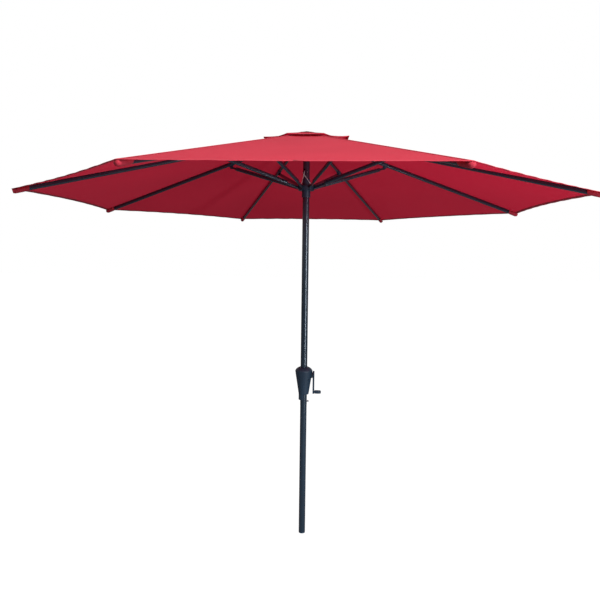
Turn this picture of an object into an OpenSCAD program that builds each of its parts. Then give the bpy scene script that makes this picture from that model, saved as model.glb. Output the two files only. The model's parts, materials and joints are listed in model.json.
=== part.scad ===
// Crank-lift patio umbrella, open, standing on a bare two-part pole: millimetres, +Z up.
// The foot of the pole is at the origin, the crank is on +X, and one edge of the octagon faces -Y.

/* [Canopy] */
// distance from the pole's centre to the tip of each rib pocket
canopy_radius = 1500; // [1300:10:1700]
// height of the pins that the ribs swing on
hub_height = 2315; // [2150:5:2450]
// slope of a rib below the horizontal when open, degrees
rib_slope = 14.6; // [10:0.1:18]
// how far each hem curves in at the middle of its side
hem_hollow = 34; // [0:1:60]
// thickness of the canopy cloth
cloth = 0.8; // [0.6:0.1:1.6]
// radius where the main cloth starts, under the vent cap
vent_hole = 150; // [110:5:200]
// radius of the vent cap's corners
vent_cap = 254; // [200:2:300]

/* [Frame] */
// width of the oval rib and strut tubes
bar_w = 15; // [12:0.5:17]
// height of the oval rib and strut tubes
bar_h = 22; // [18:0.5:24]
// how far the flat at a strut's runner end reaches above the centre line, toward the cord
runner_flat_in = 2.5; // [2:0.25:3]
// flat at a strut's rib end
rib_flat = 36; // [34:1:60]
// height of the flat at the rib end
rib_flat_h = 12; // [10:0.5:13]
// wall of the rib and strut tubes
tube_wall = 1; // [0.8:0.1:1.5]
// distance along a rib from its hub pin to the strut bracket
bracket_x = 486; // [440:2:540]
// how far the bracket's pin hangs below the rib's centre line
bracket_drop = 21.5; // [19:0.5:26]
// radius of the circle of pins in the hub and in the runner
pin_circle = 32; // [30:0.5:38]
// radius of the frame's pins
pin_r = 2; // [1.5:0.1:3]
// radial running clearance of a turning part
fit = 0.06; // [0.02:0.01:0.1]

/* [Pole] */
// outer radius of the pole's lower half
pole_r = 19; // [17:0.5:25]
// outer radius of the pole's upper half
upper_r = 19.5; // [17.5:0.5:25.5]
// wall of the pole
pole_wall = 1.5; // [1:0.1:2.5]
// height where the two halves of the pole meet
pole_split = 775; // [700:5:850]
// height of the snap button
button_z = 797; // [780:1:860]
// height of the pulley's axle over the runner's pins when open
pulley_rise = 88; // [64:1:110]

/* [Crank] */
// height of the crank shaft
crank_z = 952; // [900:1:1000]
// distance from the shaft to the grip
crank_reach = 100; // [80:1:120]
// widest radius of the crank housing
housing_r = 50; // [44:0.5:56]
// height of the housing's crease, where it is widest
housing_crease = 977; // [960:1:995]

/* [Hidden] */
$fn = 48;
EYE = 7;
TONGUE = 7;
SLOT = 7.8;
BORE = pin_r + fit;
POLE_IN = pole_r - pole_wall;
UPPER_IN = upper_r - pole_wall;
BR_X = bracket_x * cos(rib_slope) - bracket_drop * sin(rib_slope);
BR_Z = -bracket_x * sin(rib_slope) - bracket_drop * cos(rib_slope);
STRUT_LEN = sqrt(bracket_x * bracket_x + bracket_drop * bracket_drop);
STRUT_SLOPE = atan2(-BR_Z, BR_X);
RUNNER_Z = hub_height + 2 * BR_Z;
RIB_LEN = (canopy_radius - pin_circle - 6) / cos(rib_slope);
PULLEY_Z = RUNNER_Z + pulley_rise;
// flat at a strut's runner end, which passes the lift cord's legs and knot when shut
RUNNER_FLAT = pulley_rise;
PULLEY_Y = -12;
CORD_R = 1.5;
CORD_TURN = -30;
TEAL = [0.17, 0.21, 0.26];
STEEL = [0.62, 0.64, 0.67];
BLACK = [0.10, 0.11, 0.12];
RED = [0.78, 0.22, 0.30];

// the direction of rib i, seen from above
module radial(i) {
  rotate([0, 0, 45 * i - 202.5]) children();
}

// x runs out along rib i from its hub pin, z is square to the rib
module rib_frame(i) {
  radial(i)
    translate([pin_circle, 0, hub_height])
      rotate([0, rib_slope, 0])
        children();
}

// x runs down strut i from its bracket pin to its runner pin
module strut_frame(i) {
  radial(i)
    translate([pin_circle + BR_X, 0, hub_height + BR_Z])
      rotate([0, 180 - STRUT_SLOPE, 0])
        children();
}

// a round bar along x, y or z
module bar_x(r, a, b) {
  translate([a, 0, 0]) rotate([0, 90, 0]) cylinder(r = r, h = b - a);
}

module bar_y(r, a, b) {
  translate([0, a, 0]) rotate([-90, 0, 0]) cylinder(r = r, h = b - a);
}

module bar_z(r, a, b) {
  translate([0, 0, a]) cylinder(r = r, h = b - a);
}

module block(x0, x1, y0, y1, z0, z1) {
  translate([x0, y0, z0]) cube([x1 - x0, y1 - y0, z1 - z0]);
}

// a round cord from p to q
module strand(p, q, r) {
  v = q - p;
  n = norm(v);
  translate(p)
    rotate([0, acos(v[2] / n), atan2(v[1], v[0])])
      cylinder(r = r, h = n);
}

// a bar along x with the ribs' oval section, bigger all round by d
module oval_bar(d, a, b) {
  r = bar_w / 2 + d;
  s = (bar_h - bar_w) / 2;
  block(a, b, -r, r, -s, s);
  translate([0, 0, s]) bar_x(r, a, b);
  translate([0, 0, -s]) bar_x(r, a, b);
}

module oval_tube(a, b) {
  difference() {
    oval_bar(0, a, b);
    oval_bar(-tube_wall, a - 1, b + 1);
  }
}

// ---- ribs and struts ----

module rib(i) {
  color(TEAL) rib_frame(i) oval_tube(34, RIB_LEN - 16);
}

// root eye pressed into the inner end of the rib
module root_eye() {
  difference() {
    union() {
      block(0, 33, -TONGUE / 2, TONGUE / 2, -6, 6);
      bar_y(EYE, -TONGUE / 2, TONGUE / 2);
      oval_bar(0, 30, 34);
      oval_bar(-tube_wall, 34, 62);
    }
    bar_y(BORE, -TONGUE, TONGUE);
  }
}

// one ear of the strut bracket, with the rivet's head outside it
module bracket_ear(side) {
  y0 = side > 0 ? SLOT / 2 : -SLOT / 2 - 3.1;
  h0 = side > 0 ? SLOT / 2 + 3.1 : -SLOT / 2 - 5;
  translate([bracket_x, 0, 0]) {
    block(-8, 8, y0, y0 + 3.1, -bracket_drop, -9);
    translate([0, 0, -bracket_drop]) {
      bar_y(8, y0, y0 + 3.1);
      bar_y(4, h0, h0 + 1.9);
    }
  }
}

// saddle under the rib, riveted to it
module bracket() {
  difference() {
    union() {
      intersection() {
        translate([bracket_x, 0, 0]) oval_bar(2.2, -17, 17);
        block(0, RIB_LEN, -20, 20, -20, 6);
      }
      bracket_ear(1);
      bracket_ear(-1);
    }
    oval_bar(0, 0, RIB_LEN);
  }
  translate([bracket_x, 0, -bracket_drop]) bar_y(pin_r, -SLOT / 2 - 1, SLOT / 2 + 1);
}

// plug and cap at the outer end of the rib
module tip_cap() {
  e = RIB_LEN - 16;
  oval_bar(-tube_wall, e - 24, e);
  oval_bar(0, e, e + 11);
  oval_bar(-1.2, e + 11, e + 14);
  oval_bar(-3, e + 14, e + 16);
}

module rib_fittings(i) {
  color(BLACK) rib_frame(i) {
    root_eye();
    bracket();
    tip_cap();
  }
}

module strut(i) {
  color(TEAL) strut_frame(i) difference() {
    union() {
      bar_y(EYE, -TONGUE / 2, TONGUE / 2);
      block(0, rib_flat, -TONGUE / 2, TONGUE / 2, -rib_flat_h / 2, rib_flat_h / 2);
      oval_tube(rib_flat, STRUT_LEN - RUNNER_FLAT);
      oval_bar(0, rib_flat - 2, rib_flat + 3);
      oval_bar(0, STRUT_LEN - RUNNER_FLAT - 3, STRUT_LEN - RUNNER_FLAT + 2);
      block(STRUT_LEN - RUNNER_FLAT, STRUT_LEN, -TONGUE / 2, TONGUE / 2,
        -runner_flat_in, bar_h / 2);
      translate([STRUT_LEN, 0, 0]) bar_y(EYE, -TONGUE / 2, TONGUE / 2);
    }
    bar_y(BORE, -TONGUE, TONGUE);
    translate([STRUT_LEN, 0, 0]) bar_y(BORE, -TONGUE, TONGUE);
  }
}

// ---- cloth ----

COLS = 8;
SPAN = 0.999;

// across(j) runs from -1 at the middle of one panel, through the rib, to 1 at the next
function across(j) = SPAN * (2 * j / COLS - 1);
function hem(t, r, hollow) = r - hollow * (1 - (1 - abs(t)) * (1 - abs(t)));
function cloth_point(t, r, z) = let (a = abs(t), s = t < 0 ? -1 : 1)
  [r * (1 - a + a * (1 + cos(45)) / 2), s * r * a * sin(45) / 2, z];

// one rib's share of the cloth: half a panel each side, a flat-sided shell between radii r0 and r1
module gore(r0, r1, hollow, z0, fall, rows) {
  n = COLS + 1;
  m = (rows + 1) * n;
  low = [for (k = [0:rows]) for (j = [0:COLS])
    let (t = across(j), r = r0 + (hem(t, r1, hollow) - r0) * k / rows)
      cloth_point(t, r, z0 - r * fall)];
  high = [for (p = low) p + [0, 0, cloth]];
  under = [for (k = [0:rows - 1]) for (j = [0:COLS - 1]) for (f = [0, 1])
    let (a = k * n + j, b = a + 1, c = a + n, d = c + 1) f == 0 ? [a, c, d] : [a, d, b]];
  over = [for (q = under) [q[0] + m, q[2] + m, q[1] + m]];
  ring = concat([for (j = [0:COLS]) j],
                [for (k = [1:rows]) k * n + COLS],
                [for (j = [COLS - 1:-1:0]) rows * n + j],
                [for (k = [rows - 1:-1:1]) k * n]);
  g = len(ring);
  side = [for (k = [0:g - 1]) for (f = [0, 1])
    let (a = ring[k], b = ring[(k + 1) % g])
      f == 0 ? [a, b, b + m] : [a, b + m, a + m]];
  polyhedron(points = concat(low, high), faces = concat(under, over, side));
}

FALL = tan(rib_slope);
CLOTH_Z = hub_height + pin_circle * FALL + (bar_h / 2 + 0.05) / cos(rib_slope);
CAP_TOP = hub_height + 15;
CAP_FALL = 0.232;

module canopy(i) {
  color(RED) radial(i)
    gore(vent_hole, canopy_radius, hem_hollow, CLOTH_Z, FALL, 5);
}

module vent_flap(i) {
  color(RED) radial(i)
    gore(46, vent_cap, 9, CAP_TOP + 46 * CAP_FALL, CAP_FALL, 2);
}

// ---- pole ----

module side_hole(r, z) {
  translate([0, 0, z]) bar_x(r, 5, 40);
}

module lower_pole() {
  color(TEAL) difference() {
    union() {
      bar_z(pole_r, 6, pole_split);
      bar_z(UPPER_IN - 0.08, pole_split - 5, pole_split + 125);
    }
    bar_z(POLE_IN, 5, pole_split - 15);
    bar_z(UPPER_IN - 0.08 - pole_wall, 5, pole_split + 130);
    side_hole(5 + fit, button_z);
  }
}

module foot_cap() {
  color(BLACK) difference() {
    union() {
      bar_z(pole_r - 0.4, 0, 6);
      bar_z(POLE_IN, 6, 34);
    }
    bar_z(POLE_IN - 3, 9, 40);
  }
}

module upper_pole() {
  color(TEAL) difference() {
    bar_z(upper_r, pole_split + 1, hub_height - 4);
    bar_z(UPPER_IN, pole_split - 1, hub_height);
    side_hole(5 + fit, button_z);
    side_hole(6 + fit, crank_z);
    translate([0, 0, crank_z]) bar_x(4 + fit, -40, -5);
    rotate([0, 0, CORD_TURN]) {
      block(-4.5, 4.5, -30, -8, PULLEY_Z - 16, PULLEY_Z + 20);
      translate([0, PULLEY_Y, PULLEY_Z]) bar_x(pin_r, -30, 30);
    }
  }
}

// domed pin that locks the two halves of the pole together
module snap_button() {
  color(STEEL) translate([0, 0, button_z]) {
    bar_x(7, 11.2, 13.2);
    bar_x(5, 13, 27);
    translate([27, 0, 0]) rotate([0, 90, 0]) cylinder(r1 = 5, r2 = 2.6, h = 3.5);
  }
}

// V-shaped leaf behind the button
module button_spring() {
  color(STEEL) translate([0, 4, 0]) rotate([90, 0, 0]) linear_extrude(height = 8)
    polygon([
      [-15.3, button_z + 12], [-15.3, button_z - 44], [-14.2, button_z - 46],
      [11, button_z - 8], [11, button_z + 9], [10, button_z + 9],
      [10, button_z - 7.6], [-13.9, button_z - 43.6], [-14.3, button_z - 43],
      [-14.3, button_z + 12]
    ]);
}

// ---- crank ----

SKIRT_Z = 807;
HOUSE_Z = 840;

// profile of the housing, out by d
module housing_outline(d) {
  polygon([
    [0, HOUSE_Z - 40], [29 + d, HOUSE_Z - 40], [29 + d, HOUSE_Z],
    [housing_r + d, housing_crease - 3], [housing_r + d, housing_crease + 2],
    [housing_r - 4 + d, housing_crease + 9], [housing_r - 13 + d, housing_crease + 17],
    [housing_r - 25 + d, housing_crease + 23], [0, housing_crease + 25 + d / 2]
  ]);
}

module housing_solid(d, z0) {
  intersection() {
    rotate_extrude($fn = 96) housing_outline(d);
    bar_z(70, z0, 1010);
  }
}

// hollow shell of the housing with collars that grip the pole and bosses for two screws
module housing_shell(z0) {
  difference() {
    union() {
      difference() {
        housing_solid(0, z0);
        housing_solid(-3, z0 - 5);
      }
      intersection() {
        housing_solid(-1, z0);
        union() {
          bar_z(60, HOUSE_Z + 2, HOUSE_Z + 6);
          bar_z(25, housing_crease + 16, housing_crease + 24);
        }
      }
      intersection() {
        housing_solid(-1, z0);
        for (s = [-1, 1]) translate([0, 33 * s, 930]) bar_x(6, -60, 60);
      }
    }
    bar_z(upper_r, 780, 1020);
    for (s = [-1, 1]) translate([0, 33 * s, 930]) {
      bar_x(2, -60, 60);
      bar_x(4, 14, 70);
      bar_x(4, -70, -14);
    }
  }
}

module crank_housing_left() {
  color(BLACK) intersection() {
    housing_shell(SKIRT_Z);
    block(-80, -0.1, -80, 80, 780, 1020);
  }
}

module crank_housing_right() {
  color(BLACK) difference() {
    union() {
      intersection() {
        housing_shell(HOUSE_Z);
        block(0.1, 80, -80, 80, 780, 1020);
      }
      intersection() {
        translate([0, 0, crank_z]) bar_x(17.5, 36, 51);
        block(0.1, 80, -80, 80, 780, 1020);
      }
    }
    translate([0, 0, crank_z]) bar_x(6 + fit, 0, 80);
  }
}

// shaft with the cord drum inside the pole
module crank_spool() {
  color(STEEL) translate([0, 0, crank_z]) {
    bar_x(4, -21, -11);
    bar_x(12, -11, -9);
    bar_x(9, -9, 9);
    bar_x(12, 9, 11);
    bar_x(6, 11, 58);
  }
}

module crank_arm() {
  color(BLACK) translate([0, 0, crank_z]) difference() {
    union() {
      bar_x(24, 52, 62);
      bar_x(15, 51.4, 52);
      translate([0, 0, -crank_reach]) bar_x(11, 52, 62);
      translate([52, 0, 0]) rotate([90, 0, 90]) linear_extrude(height = 10)
        polygon([[-15, -10], [15, -10], [10, -crank_reach], [-10, -crank_reach]]);
      translate([0, 0, -crank_reach]) bar_x(4, 62, 97);
    }
    bar_x(6, 50, 58);
    bar_x(18, 60.5, 63);
  }
}

module crank_grip() {
  color(BLACK) translate([0, 0, crank_z - crank_reach]) difference() {
    rotate([0, 90, 0]) rotate_extrude($fn = 64)
      polygon([
        [0, 62.6], [7.5, 62.6], [9, 64], [10, 68], [10.4, 80], [10, 93],
        [9, 98.5], [6.5, 101], [0, 101.4]
      ]);
    bar_x(4 + fit, 60, 97.6);
  }
}

// ---- lifting gear ----

module pulley() {
  color(BLACK) rotate([0, 0, CORD_TURN]) translate([0, PULLEY_Y, PULLEY_Z]) difference() {
    bar_x(11, -3.5, 3.5);
    difference() {
      bar_x(12, -2.1, 2.1);
      bar_x(7.6, -3, 3);
    }
    bar_x(BORE, -5, 5);
  }
}

// cord from the drum, up inside the pole and over the pulley
module lift_cord_inner() {
  color([0.93, 0.93, 0.9]) {
    strand(CORD_LOW, [0, -11.9, crank_z], CORD_R);
    strand([CORD_LOW[0], CORD_LOW[1], PULLEY_Z], CORD_LOW, CORD_R);
    rotate([0, 0, CORD_TURN]) {
      translate([0, PULLEY_Y, PULLEY_Z]) rotate([0, -90, 0]) rotate([0, 0, -90])
        rotate_extrude(angle = 180) translate([9.5, 0]) circle(r = CORD_R, $fn = 24);
      strand([0, PULLEY_Y - 9.5, PULLEY_Z], [0, PULLEY_Y - 11.6, PULLEY_Z - 9.4], CORD_R);
    }
  }
}

CORD_LOW = [(PULLEY_Y + 9.5) * sin(-CORD_TURN), (PULLEY_Y + 9.5) * cos(CORD_TURN), crank_z + 60];
KNOT = [-12.9, -22.3, PULLEY_Z - 14];
POST = 26.9;

// the two legs that carry the runner
module lift_cord_outer() {
  color([0.93, 0.93, 0.9]) {
    translate(KNOT) sphere(r = 3.4, $fn = 32);
    strand(KNOT, [POST, -POST, RUNNER_Z + 18.4], CORD_R);
    strand(KNOT, [-POST, -POST, RUNNER_Z + 18.4], CORD_R);
  }
}

// eight slots and cross holes shared by the hub and the runner
module slots(z, r0) {
  for (i = [1:8]) radial(i) {
    block(r0, 60, -SLOT / 2, SLOT / 2, z - 40, z + 40);
    translate([pin_circle, 0, z]) bar_y(pin_r, -9, 9);
  }
}

module pins(z) {
  for (i = [1:8]) radial(i) translate([pin_circle, 0, z]) bar_y(pin_r, -8.8, 8.8);
}

module runner() {
  z = RUNNER_Z;
  color(BLACK) difference() {
    union() {
      bar_z(24.3, z - 52, z - 12);
      difference() {
        union() {
          bar_z(44, z - 14, z - 11);
          bar_z(46, z - 11, z + 9);
          bar_z(44, z + 9, z + 12);
        }
        slots(z, 24.8);
      }
      translate([0, 0, z + 10]) cylinder(r1 = 24.7, r2 = 21.5, h = 40);
      for (s = [-1, 1]) translate([s * POST, -POST, 0]) bar_z(3, z + 8, z + 16.9);
    }
    bar_z(upper_r + 0.4, z - 60, z + 60);
    translate([0, 0, z - 52.01]) cylinder(r1 = upper_r + 2.4, r2 = upper_r + 0.4, h = 3);
  }
}

module runner_pins() {
  color(STEEL) pins(RUNNER_Z);
}

// ---- crown ----

module top_hub() {
  z = hub_height;
  color(BLACK) difference() {
    union() {
      bar_z(24.3, z - 44, z - 12);
      difference() {
        union() {
          bar_z(44, z - 14, z - 11);
          bar_z(46, z - 11, z + 9);
          bar_z(44, z + 9, z + 12);
        }
        slots(z, 24.8);
      }
      bar_z(20, z + 11, z + 16.4);
    }
    bar_z(upper_r, z - 60, z - 4);
    bar_z(5, z - 5, z + 20);
  }
}

module hub_pins() {
  color(STEEL) pins(hub_height);
}

// cloth reinforcing disc under the finial
module crown_patch() {
  z = hub_height + 16.4;
  color(RED) difference() {
    bar_z(58, z, z + 1);
    bar_z(5, z - 1, z + 3);
  }
}

module finial() {
  z = hub_height + 17.4;
  color([0.55, 0.52, 0.48]) {
    rotate_extrude($fn = 64) polygon([
      [0, z], [20, z], [21, z + 1.2], [20.2, z + 4.5], [17.5, z + 8],
      [13, z + 11], [7, z + 12.9], [0, z + 13.6]
    ]);
    bar_z(5, hub_height - 3, z + 1);
  }
}

module fasteners() {
  color(STEEL) {
    for (s = [-1, 1]) translate([0, 33 * s, 930]) {
      bar_x(2, -14, 14);
      bar_x(3.8, 14, 16.4);
      bar_x(3.8, -16.4, -14);
    }
    rotate([0, 0, CORD_TURN]) translate([0, PULLEY_Y, PULLEY_Z]) bar_x(pin_r, -16.2, 16.2);
    translate([0, 0, crank_z]) difference() {
      bar_x(7.5, -20.9, -19);
      bar_x(4 + fit, -30, 0);
      bar_z(upper_r + 0.1, -20, 20);
    }
  }
}

lower_pole();
foot_cap();
upper_pole();
snap_button();
button_spring();
crank_housing_left();
crank_housing_right();
crank_spool();
crank_arm();
crank_grip();
pulley();
lift_cord_inner();
lift_cord_outer();
runner();
runner_pins();
top_hub();
hub_pins();
crown_patch();
finial();
fasteners();
rib(1);  // rib_1
rib_fittings(1);  // rib_fittings_1
canopy(1);  // canopy_1
vent_flap(1);  // vent_flap_1
strut(1);  // strut_1
rib(2);  // rib_2
rib_fittings(2);  // rib_fittings_2
canopy(2);  // canopy_2
vent_flap(2);  // vent_flap_2
strut(2);  // strut_2
rib(3);  // rib_3
rib_fittings(3);  // rib_fittings_3
canopy(3);  // canopy_3
vent_flap(3);  // vent_flap_3
strut(3);  // strut_3
rib(4);  // rib_4
rib_fittings(4);  // rib_fittings_4
canopy(4);  // canopy_4
vent_flap(4);  // vent_flap_4
strut(4);  // strut_4
rib(5);  // rib_5
rib_fittings(5);  // rib_fittings_5
canopy(5);  // canopy_5
vent_flap(5);  // vent_flap_5
strut(5);  // strut_5
rib(6);  // rib_6
rib_fittings(6);  // rib_fittings_6
canopy(6);  // canopy_6
vent_flap(6);  // vent_flap_6
strut(6);  // strut_6
rib(7);  // rib_7
rib_fittings(7);  // rib_fittings_7
canopy(7);  // canopy_7
vent_flap(7);  // vent_flap_7
strut(7);  // strut_7
rib(8);  // rib_8
rib_fittings(8);  // rib_fittings_8
canopy(8);  // canopy_8
vent_flap(8);  // vent_flap_8
strut(8);  // strut_8
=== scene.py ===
"""Patio umbrella with a crank lift: cloth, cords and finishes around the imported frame."""
import json
import math

import bpy
from mathutils import Euler, Matrix, Vector


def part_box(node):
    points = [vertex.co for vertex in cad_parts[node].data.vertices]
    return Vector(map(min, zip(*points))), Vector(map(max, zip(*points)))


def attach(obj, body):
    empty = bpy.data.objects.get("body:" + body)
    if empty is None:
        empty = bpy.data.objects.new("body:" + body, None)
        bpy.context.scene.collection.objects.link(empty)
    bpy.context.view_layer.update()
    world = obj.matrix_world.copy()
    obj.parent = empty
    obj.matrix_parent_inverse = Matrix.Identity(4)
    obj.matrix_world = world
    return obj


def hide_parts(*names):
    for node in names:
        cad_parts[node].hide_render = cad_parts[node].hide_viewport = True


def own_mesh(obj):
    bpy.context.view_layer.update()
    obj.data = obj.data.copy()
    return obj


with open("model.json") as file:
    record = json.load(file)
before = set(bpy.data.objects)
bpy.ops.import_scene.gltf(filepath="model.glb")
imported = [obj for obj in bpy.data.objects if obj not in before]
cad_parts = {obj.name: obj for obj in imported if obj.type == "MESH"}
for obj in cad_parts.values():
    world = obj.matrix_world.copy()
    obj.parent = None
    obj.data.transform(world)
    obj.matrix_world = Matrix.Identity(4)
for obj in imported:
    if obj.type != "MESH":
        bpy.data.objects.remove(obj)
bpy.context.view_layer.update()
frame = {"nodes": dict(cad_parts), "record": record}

# ---------------------------------------------------------------- sizes, in metres

RIBS = range(1, 9)
STEP = math.radians(45)
R_TIP = 1.5                      # pole axis to the tip of a rib pocket
SLOPE = math.radians(14.6)       # rib slope when open
FALL = math.tan(SLOPE)
PIN_CIRCLE = 0.032
BAR_H = 0.022                    # height of a rib's oval tube
HUB_Z = sum(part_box("hub_pins")[k][2] for k in (0, 1)) / 2
CLOTH_Z = HUB_Z + PIN_CIRCLE * FALL + (BAR_H / 2 + 0.0008) / math.cos(SLOPE)
HEM_HOLLOW = 0.034               # how far a hem curves in at the middle of a side
VENT_HOLE = 0.150
CAP_R = 0.254
CAP_FALL = 0.232
CAP_IN = 0.046                   # where the cap's cloth starts, at the crown
CAP_SEAT = 0.0155                # hub pins to the cap's cloth there
CAP_CURL = {1: 0.011, 4: 0.018}  # rise of the cap's two loose corners
CAP_Z = HUB_Z + CAP_SEAT + CAP_IN * CAP_FALL


def rib_angle(i):
    """Direction of rib i from above, from +X."""
    return math.radians(45 * i - 202.5)


def rib_turn(i):
    """From a frame whose +X runs along rib i."""
    return Matrix.Rotation(rib_angle(i), 4, "Z")


# ---------------------------------------------------------------- camera

CAMERA_DISTANCE = 3.16
CAMERA_HEIGHT = 1.637
CAMERA_SWING = math.radians(1.9)
CAMERA_PITCH = math.radians(4.47)
CAMERA_YAW = math.radians(0.5)
CAMERA_ROLL = math.radians(0.7)
CAMERA_LENS = 32.9


def make_camera():
    """Eye height in front of the umbrella, looking slightly down."""
    data = bpy.data.cameras.new("camera")
    data.lens = CAMERA_LENS
    data.sensor_width = 36
    camera = bpy.data.objects.new("camera", data)
    bpy.context.scene.collection.objects.link(camera)
    camera.location = (
        CAMERA_DISTANCE * math.sin(CAMERA_SWING),
        -CAMERA_DISTANCE * math.cos(CAMERA_SWING),
        CAMERA_HEIGHT,
    )
    look = Euler((math.pi / 2 - CAMERA_PITCH, 0, CAMERA_SWING + CAMERA_YAW), "XYZ").to_matrix()
    camera.rotation_euler = (look @ Matrix.Rotation(CAMERA_ROLL, 3, "Z")).to_euler()
    bpy.context.scene.camera = camera


# ---------------------------------------------------------------- materials


class Nodes:
    """A new node material with short calls for adding and joining nodes."""

    def __init__(self, name):
        self.material = bpy.data.materials.new(name)
        self.material.use_nodes = True
        self.tree = self.material.node_tree
        self.shader = self.tree.nodes["Principled BSDF"]
        self.output = self.tree.nodes["Material Output"]
        self.place = self.add("ShaderNodeTexCoord").outputs["Object"]

    def add(self, kind, **settings):
        node = self.tree.nodes.new(kind)
        for key, value in settings.items():
            setattr(node, key, value)
        return node

    def join(self, a, b):
        self.tree.links.new(a, b)

    def noise(self, scale, detail=3.0, rough=0.5, place=None):
        node = self.add("ShaderNodeTexNoise")
        node.inputs["Scale"].default_value = scale
        node.inputs["Detail"].default_value = detail
        node.inputs["Roughness"].default_value = rough
        self.join(place or self.place, node.inputs["Vector"])
        return node.outputs["Fac"]

    def wave(self, scale, direction, place=None, distortion=0.0):
        node = self.add("ShaderNodeTexWave", wave_type="BANDS", bands_direction=direction)
        node.inputs["Scale"].default_value = scale
        node.inputs["Distortion"].default_value = distortion
        self.join(place or self.place, node.inputs["Vector"])
        return node.outputs["Fac"]

    def stretched(self, x, y, z):
        node = self.add("ShaderNodeMapping")
        node.inputs["Scale"].default_value = (x, y, z)
        self.join(self.place, node.inputs["Vector"])
        return node.outputs["Vector"]

    def math(self, operation, a, b):
        node = self.add("ShaderNodeMath", operation=operation)
        for socket, value in zip(node.inputs, (a, b)):
            if isinstance(value, (int, float)):
                socket.default_value = value
            else:
                self.join(value, socket)
        return node.outputs[0]

    def ramp(self, factor, stops):
        node = self.add("ShaderNodeValToRGB")
        ramp = node.color_ramp
        while len(ramp.elements) < len(stops):
            ramp.elements.new(0.5)
        for element, (at, colour) in zip(ramp.elements, stops):
            element.position = at
            element.color = (*colour, 1)
        self.join(factor, node.inputs["Fac"])
        return node.outputs["Color"]

    def range(self, factor, low, high, start=0.3, end=0.7):
        node = self.add("ShaderNodeMapRange")
        node.inputs["From Min"].default_value = start
        node.inputs["From Max"].default_value = end
        node.inputs["To Min"].default_value = low
        node.inputs["To Max"].default_value = high
        self.join(factor, node.inputs["Value"])
        return node.outputs["Result"]

    def bump(self, height, distance, strength=1.0, under=None):
        node = self.add("ShaderNodeBump")
        node.inputs["Strength"].default_value = strength
        node.inputs["Distance"].default_value = distance
        self.join(height, node.inputs["Height"])
        if under is not None:
            self.join(under, node.inputs["Normal"])
        return node.outputs["Normal"]

    def set(self, **values):
        for key, value in values.items():
            self.shader.inputs[key.replace("_", " ")].default_value = value


WEAVE = 420                      # scale of the threads
THROUGH = 0.34                   # share of the light that comes through the cloth


def shade(colour, share):
    """The same colour, darker or lighter."""
    return tuple(c * share for c in colour)


def cloth_material(name, colour, glow):
    """Plain-woven polyester: fine weave, faint slubs, and light that comes through it."""
    n = Nodes(name)
    patches = n.noise(2.3, 4)
    slubs = n.noise(60, 2, place=n.stretched(1, 14, 6))
    both = n.math("ADD", n.math("MULTIPLY", patches, 0.6), n.math("MULTIPLY", slubs, 0.4))
    tint = n.ramp(both, [(0.3, shade(colour, 0.9)), (0.7, shade(colour, 1.08))])
    n.join(tint, n.shader.inputs["Base Color"])
    weave = n.math("MULTIPLY", n.wave(WEAVE, "X"), n.wave(WEAVE, "Y"))
    height = n.math("ADD", weave, n.math("MULTIPLY", slubs, 0.6))
    crease = n.bump(n.noise(9, 3), 0.004, 0.25)
    normal = n.bump(height, 0.0004, 0.5, under=crease)
    n.join(normal, n.shader.inputs["Normal"])
    n.join(n.range(slubs, 0.68, 0.86), n.shader.inputs["Roughness"])
    n.set(Specular_IOR_Level=0.12, Sheen_Weight=0.04, Sheen_Roughness=0.45)
    through = n.add("ShaderNodeBsdfTranslucent")
    n.join(n.ramp(both, [(0.3, shade(glow, 0.92)), (0.7, glow)]), through.inputs["Color"])
    n.join(crease, through.inputs["Normal"])
    mix = n.add("ShaderNodeMixShader")
    mix.inputs["Fac"].default_value = THROUGH
    n.join(n.shader.outputs["BSDF"], mix.inputs[1])
    n.join(through.outputs["BSDF"], mix.inputs[2])
    n.join(mix.outputs["Shader"], n.output.inputs["Surface"])
    return n.material


def stitched_material(name, colour):
    """Doubled cloth of the hems, seams and pockets, with a fine weave and faint puckers."""
    n = Nodes(name)
    slubs = n.noise(70, 2)
    tint = n.ramp(slubs, [(0.3, shade(colour, 0.84)), (0.7, shade(colour, 1.05))])
    n.join(tint, n.shader.inputs["Base Color"])
    weave = n.math("MULTIPLY", n.wave(WEAVE, "X"), n.wave(WEAVE, "Y"))
    pucker = n.bump(n.noise(55, 2), 0.0012, 0.5)
    n.join(n.bump(weave, 0.0004, 0.5, under=pucker), n.shader.inputs["Normal"])
    n.join(n.range(slubs, 0.7, 0.88), n.shader.inputs["Roughness"])
    n.set(Specular_IOR_Level=0.12, Sheen_Weight=0.04, Sheen_Roughness=0.5)
    return n.material


def coated_material(name, colour, rough, grain, metallic=0.0, coat=0.0):
    """Powder coat or moulded plastic: fine orange peel, faint rubbed patches."""
    n = Nodes(name)
    patches = n.noise(7, 5, 0.6)
    fine = n.noise(grain, 2)
    tint = n.ramp(patches, [(0.3, shade(colour, 0.86)), (0.72, shade(colour, 1.12))])
    n.join(tint, n.shader.inputs["Base Color"])
    n.join(n.bump(fine, 0.0003, 0.35), n.shader.inputs["Normal"])
    n.join(n.range(patches, rough - 0.06, rough + 0.07), n.shader.inputs["Roughness"])
    n.set(Metallic=metallic, Coat_Weight=coat, Coat_Roughness=0.25)
    return n.material


def steel_material(name):
    """Zinc-plated steel with drawn lines."""
    n = Nodes(name)
    lines = n.noise(90, 3, place=n.stretched(1, 1, 12))
    n.join(
        n.ramp(lines, [(0.3, (0.48, 0.5, 0.52)), (0.7, (0.66, 0.68, 0.7))]),
        n.shader.inputs["Base Color"],
    )
    n.join(n.bump(lines, 0.0002, 0.3), n.shader.inputs["Normal"])
    n.join(n.range(lines, 0.24, 0.4), n.shader.inputs["Roughness"])
    n.set(Metallic=1.0)
    return n.material


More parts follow.
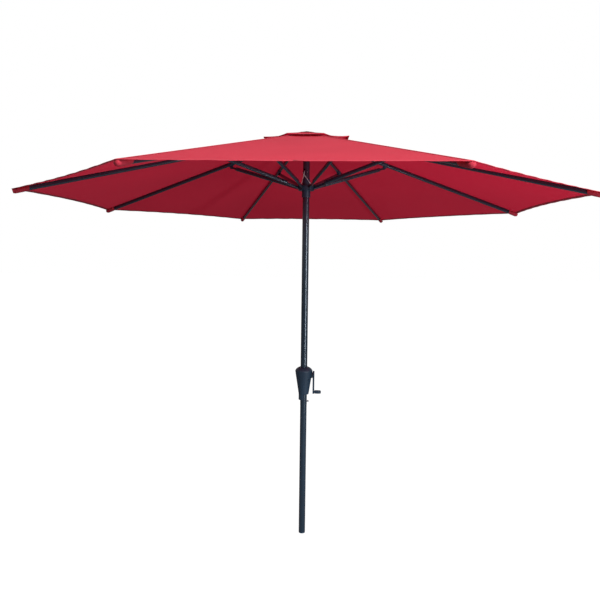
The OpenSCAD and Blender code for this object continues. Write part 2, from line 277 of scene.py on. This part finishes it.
def cord_material(name):
    """White braid: two crossed twists of strands, with painted shade in the grooves between them."""
    n = Nodes(name)
    left = n.wave(150, "DIAGONAL")
    right = n.wave(150, "DIAGONAL", place=n.stretched(-1, 1, 1))
    braid = n.math("MULTIPLY", left, right)
    # painted shade: the colour is darker where the braid's bump is low, in the grooves between the
    # strands
    n.join(
        n.ramp(braid, [(0.1, (0.62, 0.62, 0.6)), (0.6, (0.9, 0.9, 0.88))]),
        n.shader.inputs["Base Color"],
    )
    n.join(n.bump(braid, 0.0006, 0.7), n.shader.inputs["Normal"])
    n.join(n.range(braid, 0.9, 0.65), n.shader.inputs["Roughness"])
    n.set(Sheen_Weight=0.2, Sheen_Roughness=0.5)
    return n.material


FLOOR_GLOW = 1.12                # brightness of the floor's own white
FLOOR_SEEN = 0.93                # share of it in what is seen straight on


def floor_material():
    """White paper sweep where the camera sees it, and much less bright to the object."""
    n = Nodes("floor")
    n.join(
        n.ramp(n.noise(3, 2), [(0.3, (0.19, 0.19, 0.20)), (0.7, (0.22, 0.22, 0.23))]),
        n.shader.inputs["Base Color"],
    )
    n.set(Roughness=0.9, Specular_IOR_Level=0.1)
    seen = n.add("ShaderNodeLightPath").outputs["Is Camera Ray"]
    white = n.add("ShaderNodeEmission")
    white.inputs["Color"].default_value = (1, 1, 1, 1)
    white.inputs["Strength"].default_value = FLOOR_GLOW
    mix = n.add("ShaderNodeMixShader")
    n.join(n.math("MULTIPLY", seen, FLOOR_SEEN), mix.inputs["Fac"])
    n.join(n.shader.outputs["BSDF"], mix.inputs[1])
    n.join(white.outputs["Emission"], mix.inputs[2])
    n.join(mix.outputs["Shader"], n.output.inputs["Surface"])
    return n.material


RED = (0.56, 0.036, 0.062)
RED_GLOW = (0.60, 0.005, 0.036)
SLATE = (0.009, 0.027, 0.048)
DARK = (0.013, 0.036, 0.066)
TAUPE = (0.30, 0.27, 0.24)

cloth = cloth_material("canopy_weave", RED, RED_GLOW)
stitched = stitched_material("canopy_doubled", shade(RED, 0.82))
paint = coated_material("slate_powder_coat", SLATE, 0.23, 900, metallic=0.2, coat=0.6)
plastic = coated_material("slate_moulded", DARK, 0.48, 1400)
taupe = coated_material("taupe_moulded", TAUPE, 0.5, 1200)
steel = steel_material("zinc_steel")
cord = cord_material("white_braid")
BY_SLOT = {
    "frame_metal": paint,
    "crank_metal": coated_material("crank_paint", shade(DARK, 1.15), 0.4, 900, metallic=0.2),
    "bright_steel": steel,
    "finial_plastic": taupe,
    "dark_plastic": plastic,
    "canopy_cloth": cloth,
    "cord": cord,
}


def finish_cad_nodes():
    """Every node of the frame gets its slot's material."""
    for part in frame["record"]["subparts"]:
        for place in frame["nodes"][part["node"]].material_slots:
            place.link = "OBJECT"
            place.material = BY_SLOT[part["material_slot"]]


# ---------------------------------------------------------------- mesh helpers


def make_piece(name, points, faces, material, body, slot):
    """A smooth mesh that rides with one body."""
    mesh = bpy.data.meshes.new(name)
    mesh.from_pydata([tuple(p) for p in points], [], faces)
    mesh.validate()
    mesh.update()
    mesh.materials.append(material)
    for polygon in mesh.polygons:
        polygon.use_smooth = True
    piece = bpy.data.objects.new(name, mesh)
    bpy.context.scene.collection.objects.link(piece)
    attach(piece, body)
    return piece


def grid_faces(rows, columns, first=0, flip=False):
    """Quads of a grid that has rows x columns points, stored row by row."""
    faces = []
    for k in range(rows - 1):
        for j in range(columns - 1):
            a = first + k * columns + j
            quad = (a, a + 1, a + columns + 1, a + columns)
            faces.append(quad[::-1] if flip else quad)
    return faces


def band(upper, lower):
    """A closed flat band from two grids of the same shape, each a list of rows."""
    rows, columns = len(upper), len(upper[0])
    points = [p for row in upper for p in row] + [p for row in lower for p in row]
    half = rows * columns
    faces = grid_faces(rows, columns) + grid_faces(rows, columns, half, flip=True)
    edge = list(range(columns))
    edge += [k * columns + columns - 1 for k in range(1, rows)]
    edge += [(rows - 1) * columns + j for j in range(columns - 2, -1, -1)]
    edge += [k * columns for k in range(rows - 2, 0, -1)]
    for a, b in zip(edge, edge[1:] + edge[:1]):
        faces.append((a, a + half, b + half, b))
    return points, faces


def circle(sides):
    """Angles of a ring's points."""
    return [2 * math.pi * j / sides for j in range(sides)]


def ring_faces(rings, sides, closed=False):
    """Quads between neighbouring rings of points, and from the last to the first if closed."""
    faces = []
    for k in range(rings if closed else rings - 1):
        a, b = k * sides, (k + 1) % rings * sides
        for j in range(sides):
            other = (j + 1) % sides
            faces.append((a + j, a + other, b + other, b + j))
    return faces


def tube(path, radius, sides=12):
    """A round tube along a list of points, closed at both ends."""
    points = []
    side = None
    for k, p in enumerate(path):
        along = (path[min(k + 1, len(path) - 1)] - path[max(k - 1, 0)]).normalized()
        if side is None:
            side = along.orthogonal().normalized()
        side = (side - along * side.dot(along)).normalized()
        up = along.cross(side)
        points += [p + (side * math.cos(a) + up * math.sin(a)) * radius for a in circle(sides)]
    faces = ring_faces(len(path), sides)
    faces.append(tuple(reversed(range(sides))))
    faces.append(tuple((len(path) - 1) * sides + j for j in range(sides)))
    return points, faces


def together(shapes):
    """One list of points and one of faces from several shapes."""
    points, faces = [], []
    for more, polygons in shapes:
        faces += [tuple(v + len(points) for v in polygon) for polygon in polygons]
        points += more
    return points, faces


# ---------------------------------------------------------------- canopy

ACROSS = 14                      # columns each side of a rib
ALONG = 36                       # rows from the vent hole to the hem
TAUT_SAG = 0.011                 # dip of a panel between its ribs
HEM_W = 0.022
BINDING_W = 0.014                # doubled cloth around the vent hole
HEM_OVER = 0.0006                # how far doubled cloth wraps past an edge
FOLD_T = 0.0011                  # half the thickness of doubled cloth
SEAM_HALF = 0.0065               # half the width of a seam
SEAM_T = 0.0005                  # half the thickness of its band
SEAM_LIFT = 0.0012               # the band's height over the cloth
CAP_ACROSS = 8
CAP_ALONG = 10
CAP_HOLLOW = 0.009
CAP_HEM_W = 0.015
CAP_SEAM_HALF = 0.0055
SPREAD = math.sin(STEP) / 2      # half a share's width, for each metre along its rib


def hem_radius(t, radius=R_TIP, hollow=HEM_HOLLOW):
    """Where the hem is on a share, as a distance along the rib."""
    return radius - hollow * (1 - (1 - abs(t)) ** 2)


def panel_dip(panel, q, r):
    """How far a panel hangs under its flat plane, q from 0 at one rib to 1 at the next."""
    u = (r - VENT_HOLE) / (R_TIP - VENT_HOLE)
    dome = 4 * q * (1 - q)
    dip = TAUT_SAG * dome * (0.35 + 0.65 * math.sin(math.pi * min(max(u, 0), 1)))
    # slack ripples that fan out from the two pockets and die away inward
    for corner, place in ((0, q), (1, 1 - q)):
        fan = place * 9 + 0.6 * math.sin(panel * 2.1 + corner)
        dip += 0.0022 * math.sin(2 * math.pi * fan) * u ** 3 * dome * math.exp(-3 * place)
    dip += 0.0016 * math.sin(5 * u + panel * 1.7) * math.sin(math.pi * q) ** 2
    return dip


def from_above(t, r):
    """Place on a share seen from above, with +X along the rib."""
    a = abs(t)
    return r * (1 - a + a * (1 + math.cos(STEP)) / 2), math.copysign(r * a * SPREAD, t)


def canopy_point(i, t, r, lift=0.0):
    """A point of the cloth on rib i's share: t from -1 to 1 across it, r along the rib."""
    a = abs(t)
    panel, q = (i, a / 2) if t > 0 else ((i - 2) % 8 + 1, 1 - a / 2)
    x, y = from_above(t, r)
    return Vector((x, y, CLOTH_Z - r * FALL - panel_dip(panel, q, r) + lift))


def cap_point(i, t, r, lift=0.0):
    """A point of the vent cap on rib i's share, as canopy_point."""
    a = abs(t)
    x, y = from_above(t, r)
    dip = 0.004 * a * (2 - a) * (r / CAP_R) ** 2
    curl = CAP_CURL.get(i, 0.001) * (1 - a) ** 1.4 * (r / CAP_R) ** 4
    return Vector((x, y, CAP_Z - r * CAP_FALL - dip + curl + lift))


def seam_point(i, t, r, lift=0.0):
    """A felled seam lies on top of the cloth, over the rib."""
    return canopy_point(i, t, r, SEAM_LIFT + lift)


def cap_seam_point(i, t, r, lift=0.0):
    """The same on the vent cap."""
    return cap_point(i, t, r, SEAM_LIFT + lift)


def gather(piece):
    """Gives the piece its own copy of its mesh."""
    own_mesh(piece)


def border_normals(piece, columns, turn):
    """Matches the shading of neighbouring pieces where they meet in the middle of a panel."""
    mesh = piece.data
    normals = [(0.0, 0.0, 0.0)] * len(mesh.vertices)
    for k, vertex in enumerate(mesh.vertices):
        j = k % columns
        if j not in (0, columns - 1):
            continue
        row = k // columns
        spin = math.copysign(STEP / 2, j - 1)
        outward = turn @ Vector((math.cos(spin), math.sin(spin), 0))
        lower = mesh.vertices[max(row - 1, 0) * columns + j].co
        upper = mesh.vertices[min(row + 1, len(mesh.vertices) // columns - 1) * columns + j].co
        along = (upper - lower).normalized()
        normal = along.cross(Vector((-outward.y, outward.x, 0)))
        normals[k] = tuple((normal if normal.z > 0 else -normal).normalized())
    mesh.normals_split_custom_set_from_vertices(normals)


def strip(i, point, rows, thickness=FOLD_T):
    """A closed band on the cloth of rib i from rows of (t, r) pairs."""
    turn = rib_turn(i)
    upper = [[turn @ point(i, t, r, thickness) for t, r in row] for row in rows]
    lower = [[turn @ point(i, t, r, -thickness) for t, r in row] for row in rows]
    return band(upper, lower)


def steps(a, b, n):
    """Evenly spaced values from a to b."""
    return [a + (b - a) * k / n for k in range(n + 1)]


def hem_rows(hem, width, columns):
    """Rows of a hem's band, from just past the edge of the cloth inward."""
    ts = steps(-1, 1, 2 * columns)
    return [[(t, hem(t) + HEM_OVER - w) for t in ts] for w in steps(0, width, 2)]


def seam_rows(half, outer, inner, rows):
    """Rows of a seam's band, which is as wide all along the rib."""
    return [
        [(s * half / (SPREAD * r), r) for s in (-1, -0.6, 0, 0.6, 1)]
        for r in steps(outer, inner, rows)
    ]


def make_trim(i, name, point, rows, thickness=FOLD_T):
    """A band of doubled cloth on rib i's share."""
    points, faces = strip(i, point, rows, thickness)
    return make_piece(name, points, faces, stitched, f"rib_{i}", "canopy_cloth")


def make_share(i, name, node, point, inner, hem, rows, columns):
    """Rib i's share of the canopy or of the vent cap."""
    turn = rib_turn(i)
    ts = steps(-1, 1, 2 * columns)
    points = [
        turn @ point(i, t, inner + (hem(t) - inner) * k / rows)
        for k in range(rows + 1)
        for t in ts
    ]
    faces = grid_faces(rows + 1, len(ts), flip=True)
    piece = make_piece(name, points, faces, cloth, f"rib_{i}", "canopy_cloth")
    border_normals(piece, len(ts), turn)
    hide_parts(node)
    return piece


def share_area(inner, hem, fall):
    """Flat area of one rib's share: two thin triangles cut off at the inner edge and the hem."""
    total, n = 0.0, 200
    per_r2 = 0.5 * math.hypot(SPREAD, SPREAD * fall)
    for k in range(n):
        t = (k + 0.5) / n
        total += 2 * per_r2 * (hem(t) ** 2 - inner**2) / n
    return total


def make_canopy_share(i):
    """Rib i's share of the canopy with its hem, binding, seam and pocket."""
    sheet = make_share(
        i, f"canopy_cloth_{i}", f"canopy_{i}", canopy_point, VENT_HOLE, hem_radius, ALONG, ACROSS
    )
    rows = hem_rows(hem_radius, HEM_W, ACROSS)
    hem = make_trim(i, f"canopy_hem_{i}", canopy_point, rows)
    ts = steps(-1, 1, 2 * ACROSS)
    rows = [[(t, VENT_HOLE - 0.001 + w) for t in ts] for w in steps(BINDING_W, 0, 2)]
    ring = make_trim(i, f"vent_binding_{i}", canopy_point, rows)
    rows = seam_rows(SEAM_HALF, R_TIP - 0.004, VENT_HOLE, 40)
    seam = make_trim(i, f"canopy_seam_{i}", seam_point, rows, SEAM_T)
    trims = [hem, ring, seam, make_pocket(i)]
    for piece in (sheet, hem, ring):
        gather(piece)
    share_area(VENT_HOLE, hem_radius, FALL)


POCKET_END = 0.003               # rib's tip to the pocket's closed end
POCKET_HALF = 0.0145             # half its width
POCKET_DEEP = BAR_H + 0.0035
# distance back from the closed end, and share of the full size there
POCKET_RINGS = [(0.0, 0.35), (0.004, 0.85), (0.014, 1.0), (0.045, 1.0), (0.068, 0.94), (0.075, 0.86)]


def make_pocket(i):
    """Doubled cloth pocket that holds the rib's end, sewn under the hem's corner."""
    turn = rib_turn(i)
    sides = 16
    points = []
    for back, share in POCKET_RINGS:
        crown = canopy_point(i, 0, R_TIP - POCKET_END - back, -0.0004)
        for a in circle(sides):
            # a little narrower in its lower half
            w = POCKET_HALF * share * math.cos(a) * (1 - 0.12 * (math.sin(a) < 0))
            droop = POCKET_DEEP * share * (1 - math.sin(a)) / 2
            points.append(turn @ (crown + Vector((0, w, -droop - abs(w) * 0.02))))
    faces = ring_faces(len(POCKET_RINGS), sides)
    faces.append(tuple(reversed(range(sides))))
    return make_piece(f"rib_pocket_{i}", points, faces, stitched, f"rib_{i}", "canopy_cloth")


def make_cap_share(i):
    """Rib i's share of the vent cap with its hem and seam."""

    def edge(t):
        return hem_radius(t, CAP_R, CAP_HOLLOW)

    sheet = make_share(
        i, f"vent_cloth_{i}", f"vent_flap_{i}", cap_point, CAP_IN, edge, CAP_ALONG, CAP_ACROSS
    )
    hem = make_trim(i, f"vent_hem_{i}", cap_point, hem_rows(edge, CAP_HEM_W, CAP_ACROSS))
    rows = seam_rows(CAP_SEAM_HALF, CAP_R - 0.002, 0.05, CAP_ALONG)
    seam = make_trim(i, f"vent_seam_{i}", cap_seam_point, rows, SEAM_T)
    for piece in (sheet, hem):
        gather(piece)
    share_area(CAP_IN, edge, CAP_FALL)


def make_crown():
    """Round reinforcing patch under the finial, pulled down at its rim."""
    low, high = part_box("crown_patch")
    radius = (high[0] - low[0]) / 2
    sides = 64
    profile = [(0.006, high[2]), (0.02, high[2]), (0.04, high[2] - 0.0003),
               (radius - 0.002, low[2] + 0.0006), (radius, low[2] + 0.0002),
               (radius - 0.002, low[2]), (0.02, low[2]), (0.006, low[2])]
    points = [(r * math.cos(a), r * math.sin(a), z) for r, z in profile for a in circle(sides)]
    faces = ring_faces(len(profile), sides, closed=True)
    piece = make_piece("crown_disc", points, faces, stitched, "pole", "canopy_cloth")
    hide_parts("crown_patch")


# ---------------------------------------------------------------- lifting cord

CORD_R = 0.0015
CORD_WRAP = 0.0095               # pulley's centre to the cord's centre line
CORD_TURN = math.radians(-30)    # the cord runs in this plane through the pole


def make_cords():
    """The cord inside the pole and over the pulley, and its knot and two legs on the runner."""
    turn = Matrix.Rotation(CORD_TURN, 4, "Z")
    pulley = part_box("pulley")
    centre = Vector((0, -0.012, (pulley[0][2] + pulley[1][2]) / 2))
    drum = turn.inverted() @ Vector((0, -0.0119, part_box("lift_cord_inner")[0][2]))

    def behind(z):
        return Vector((0, centre.y + CORD_WRAP, z))

    start = behind(drum.z + 0.06)
    route = [drum, drum.lerp(start, 0.5), start, behind(1.5), behind(centre.z)]
    for a in steps(0, math.pi, 16)[1:]:
        route.append(centre + CORD_WRAP * Vector((0, math.cos(a), math.sin(a))))
    route.append(centre + Vector((0, -0.0116, -0.0094)))
    points, faces = tube([turn @ p for p in route], CORD_R)
    inner = make_piece("cord_in_pole", points, faces, cord, "pole", "cord")
    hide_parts("lift_cord_inner")

    foot_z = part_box("lift_cord_outer")[0][2] + CORD_R
    knot = Vector((-0.0129, -0.0223, centre.z - 0.014))
    shapes = []
    for side in (-1, 1):
        foot = Vector((side * 0.0269, -0.0269, foot_z))
        shapes.append(tube([knot.lerp(foot, k / 8) for k in range(9)], CORD_R))
    coil = []
    for k in range(25):
        a = 2 * math.pi * k / 12
        coil.append(knot + Vector((0.0017 * math.cos(a), 0.0017 * math.sin(a), 0.0022 * (k / 12 - 1))))
    shapes.append(tube(coil, CORD_R))
    outer = make_piece("cord_legs", *together(shapes), cord, "runner", "cord")
    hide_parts("lift_cord_outer")


# ---------------------------------------------------------------- surroundings

FLOOR_HALF = 40
FLOOR_Z = -0.001
SKY_LIGHT = 0.42
KEY = dict(place=(2.1, -4.3, 5.5), target=(0, 0, 1.8), size=2.6, power=490)
FILL = dict(place=(2.9, -3.3, 1.3), target=(0, 0, 1.2), size=0.35, power=100,
            colour=(0.84, 0.92, 1.0), tall=2.4)


def make_floor():
    """A wide plane just under the pole's foot."""
    mesh = bpy.data.meshes.new("floor")
    corners = [(-1, -1), (1, -1), (1, 1), (-1, 1)]
    points = [(x * FLOOR_HALF, y * FLOOR_HALF, FLOOR_Z) for x, y in corners]
    mesh.from_pydata(points, [], [(0, 1, 2, 3)])
    mesh.materials.append(floor_material())
    floor = bpy.data.objects.new("floor", mesh)
    bpy.context.scene.collection.objects.link(floor)


def make_area_light(name, place, target, size, power, colour=(1, 1, 1), tall=0.0):
    """A round soft box, or an upright strip where tall is given."""
    data = bpy.data.lights.new(name, "AREA")
    data.shape = "RECTANGLE" if tall else "DISK"
    data.size = size
    if tall:
        data.size_y = tall
    data.energy = power
    data.color = colour
    light = bpy.data.objects.new(name, data)
    bpy.context.scene.collection.objects.link(light)
    light.location = place
    aim = Vector(target) - Vector(place)
    light.rotation_euler = aim.to_track_quat("-Z", "Y").to_euler()


def make_light():
    """White surround, a soft key from the front and above, and an upright strip at the right."""
    world = bpy.data.worlds.new("studio")
    bpy.context.scene.world = world
    world.use_nodes = True
    tree = world.node_tree
    back = tree.nodes["Background"]
    seen = tree.nodes.new("ShaderNodeLightPath").outputs["Is Camera Ray"]
    level = tree.nodes.new("ShaderNodeMapRange")
    level.inputs["To Min"].default_value = SKY_LIGHT
    level.inputs["To Max"].default_value = 1.0
    tree.links.new(seen, level.inputs["Value"])
    tree.links.new(level.outputs["Result"], back.inputs["Strength"])
    back.inputs["Color"].default_value = (1, 1, 1, 1)
    make_area_light("key", **KEY)
    make_area_light("fill", **FILL)
    scene = bpy.context.scene
    scene.view_settings.view_transform = "Standard"
    scene.view_settings.look = "None"


make_camera()
make_cords()
finish_cad_nodes()
for rib in RIBS:
    make_canopy_share(rib)
    make_cap_share(rib)
make_crown()
make_floor()
make_light()
